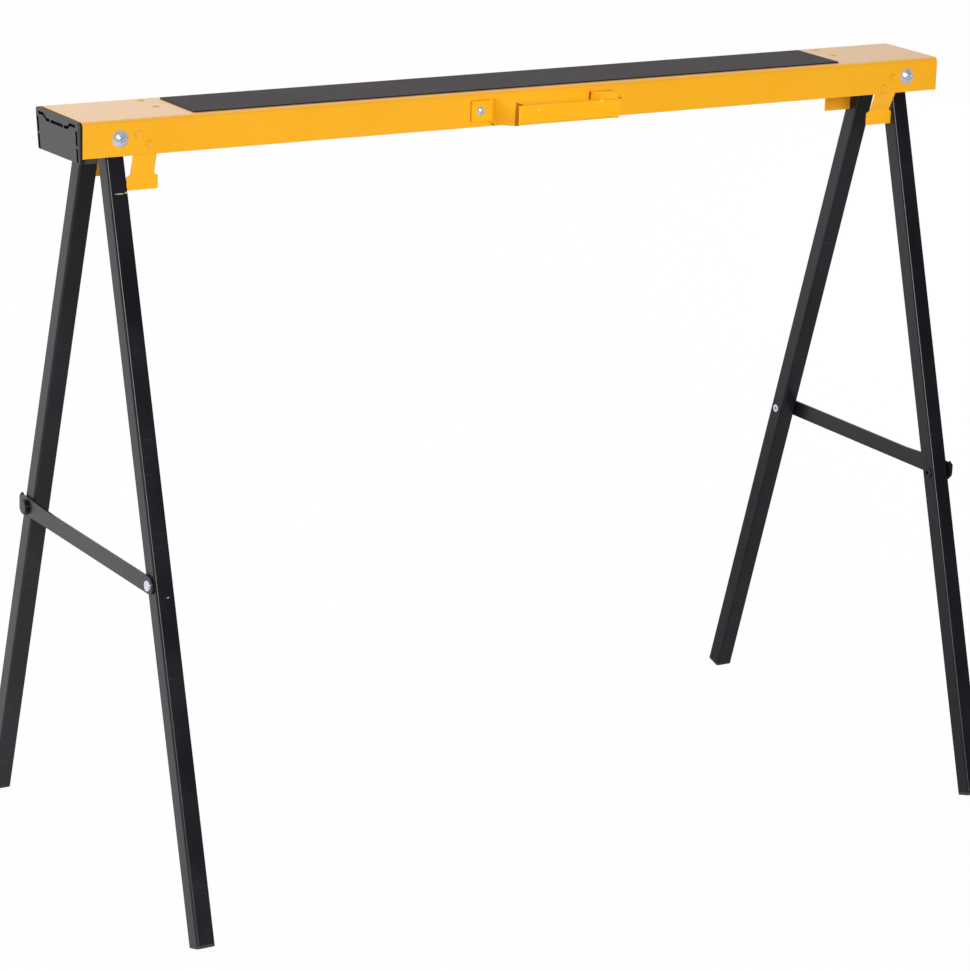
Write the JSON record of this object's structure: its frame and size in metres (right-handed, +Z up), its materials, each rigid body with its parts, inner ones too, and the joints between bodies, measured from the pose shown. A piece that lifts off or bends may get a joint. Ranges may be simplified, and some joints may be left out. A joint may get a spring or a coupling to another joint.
{
  "type": "folding sawhorse",
  "caption": "Folding sawhorse with a folded sheet steel beam, non-slip pad, carry handle, spring latches and splayed square tube legs tied by hooked braces.",
  "frame": {"origin": "centre of the footprint on the ground", "axes": "+X along the beam, -Y towards the handle side, +Z up"},
  "size_m": [1.0081, 0.4992, 0.7692],
  "materials": {
    "yellow_paint": "gloss paint on folded steel sheet",
    "black_paint": "gloss powder coat on steel tube and strip",
    "zinc": "bright zinc plated steel",
    "grey_plastic": "dark grey moulded plastic",
    "pad_rubber": "dark textured non-slip rubber",
    "black_steel": "black oxide steel"
  },
  "bodies": {
    "beam": {"beam_channel": "yellow_paint", "grip_pad": "pad_rubber", "pad_rivets": "yellow_paint", "end_cap_left": "grey_plastic", "end_cap_right": "grey_plastic", "handle": "yellow_paint", "handle_screw_left": "zinc", "handle_screw_right": "zinc", "handle_nuts": "zinc", "pivot_bolt_left": "zinc", "pivot_bolt_right": "zinc", "pivot_nut_left": "zinc", "pivot_nut_right": "zinc", "latch_root_left_front": "yellow_paint", "latch_root_left_rear": "yellow_paint", "latch_root_right_front": "yellow_paint", "latch_root_right_rear": "yellow_paint", "latch_rivets_left_front": "yellow_paint", "latch_rivets_left_rear": "yellow_paint", "latch_rivets_right_front": "yellow_paint", "latch_rivets_right_rear": "yellow_paint"},
    "bush_left": {"bush_left": "grey_plastic"},
    "swivel_left": {"spacer_left": "grey_plastic"},
    "leg_left_front": {"leg_left_front": "black_paint", "foot_left_front": "grey_plastic", "brace_rivet_left": "zinc"},
    "leg_left_rear": {"leg_left_rear": "black_paint", "foot_left_rear": "grey_plastic", "hook_stud_left": "black_steel", "stud_nut_left": "black_steel"},
    "brace_left": {"brace_left": "black_paint"},
    "bush_right": {"bush_right": "grey_plastic"},
    "swivel_right": {"spacer_right": "grey_plastic"},
    "leg_right_rear": {"leg_right_rear": "black_paint", "foot_right_rear": "grey_plastic", "brace_rivet_right": "zinc"},
    "leg_right_front": {"leg_right_front": "black_paint", "foot_right_front": "grey_plastic", "hook_stud_right": "black_steel", "stud_nut_right": "black_steel"},
    "brace_right": {"brace_right": "black_paint"},
    "latch_left_front": {"latch_blade_left_front": "yellow_paint"},
    "latch_left_rear": {"latch_blade_left_rear": "yellow_paint"},
    "latch_right_front": {"latch_blade_right_front": "yellow_paint"},
    "latch_right_rear": {"latch_blade_right_rear": "yellow_paint"}
  },
  "joints": [
    {"name": "pair_shift_left", "type": "slide", "parent": "beam", "child": "bush_left", "axis": [0, 1, 0], "range_m": [0, 0.01012]},
    {"name": "fold_left", "type": "hinge", "parent": "bush_left", "child": "swivel_left", "pos_m": [-0.4608, 0, 0.7501], "axis": [0, -1, 0], "range_deg": [0, 90], "deforming": ["latch_blade_left_front", "latch_blade_left_rear"]},
    {"name": "splay_left_front", "type": "hinge", "parent": "swivel_left", "child": "leg_left_front", "pos_m": [-0.4608, -0.0202, 0.7501], "axis": [1, 0, 0], "range_deg": [0, 16.41]},
    {"name": "splay_left_rear", "type": "hinge", "parent": "swivel_left", "child": "leg_left_rear", "pos_m": [-0.4608, 0.0202, 0.7501], "axis": [-1, 0, 0], "range_deg": [0, 16.41]},
    {"name": "brace_swing_left", "type": "hinge", "parent": "leg_left_front", "child": "brace_left", "pos_m": [-0.47205, -0.14178, 0.337], "axis": [1, 0, 0], "range_deg": [0, 73.61]},
    {"name": "pair_shift_right", "type": "slide", "parent": "beam", "child": "bush_right", "axis": [0, -1, 0], "range_m": [0, 0.01012]},
    {"name": "fold_right", "type": "hinge", "parent": "bush_right", "child": "swivel_right", "pos_m": [0.4608, 0, 0.7501], "axis": [0, 1, 0], "range_deg": [0, 90], "deforming": ["latch_blade_right_front", "latch_blade_right_rear"]},
    {"name": "splay_right_rear", "type": "hinge", "parent": "swivel_right", "child": "leg_right_rear", "pos_m": [0.4608, 0.0202, 0.7501], "axis": [-1, 0, 0], "range_deg": [0, 16.41]},
    {"name": "splay_right_front", "type": "hinge", "parent": "swivel_right", "child": "leg_right_front", "pos_m": [0.4608, -0.0202, 0.7501], "axis": [1, 0, 0], "range_deg": [0, 16.41]},
    {"name": "brace_swing_right", "type": "hinge", "parent": "leg_right_rear", "child": "brace_right", "pos_m": [0.47205, 0.14178, 0.337], "axis": [-1, 0, 0], "range_deg": [0, 73.61]},
    {"name": "press_left_front", "type": "hinge", "parent": "beam", "child": "latch_left_front", "pos_m": [-0.434, -0.0465, 0.7334], "axis": [-1, 0, 0], "range_deg": [0, 20], "stiffness_Nm_per_rad": 0.6},
    {"name": "press_left_rear", "type": "hinge", "parent": "beam", "child": "latch_left_rear", "pos_m": [-0.434, 0.0465, 0.7334], "axis": [1, 0, 0], "range_deg": [0, 20], "stiffness_Nm_per_rad": 0.6},
    {"name": "press_right_front", "type": "hinge", "parent": "beam", "child": "latch_right_front", "pos_m": [0.434, -0.0465, 0.7334], "axis": [-1, 0, 0], "range_deg": [0, 20], "stiffness_Nm_per_rad": 0.6},
    {"name": "press_right_rear", "type": "hinge", "parent": "beam", "child": "latch_right_rear", "pos_m": [0.434, 0.0465, 0.7334], "axis": [1, 0, 0], "range_deg": [0, 20], "stiffness_Nm_per_rad": 0.6}
  ],
  "couplings": [
    {"joint": "pair_shift_left", "follows": "fold_left", "m_per_rad": 0.0064299},
    {"joint": "splay_left_front", "follows": "fold_left", "ratio": 0.18222},
    {"joint": "splay_left_rear", "follows": "fold_left", "ratio": 0.18222},
    {"joint": "brace_swing_left", "follows": "fold_left", "ratio": 0.81778},
    {"joint": "pair_shift_right", "follows": "fold_right", "m_per_rad": 0.0064299},
    {"joint": "splay_right_rear", "follows": "fold_right", "ratio": 0.18222},
    {"joint": "splay_right_front", "follows": "fold_right", "ratio": 0.18222},
    {"joint": "brace_swing_right", "follows": "fold_right", "ratio": 0.81778}
  ]
}
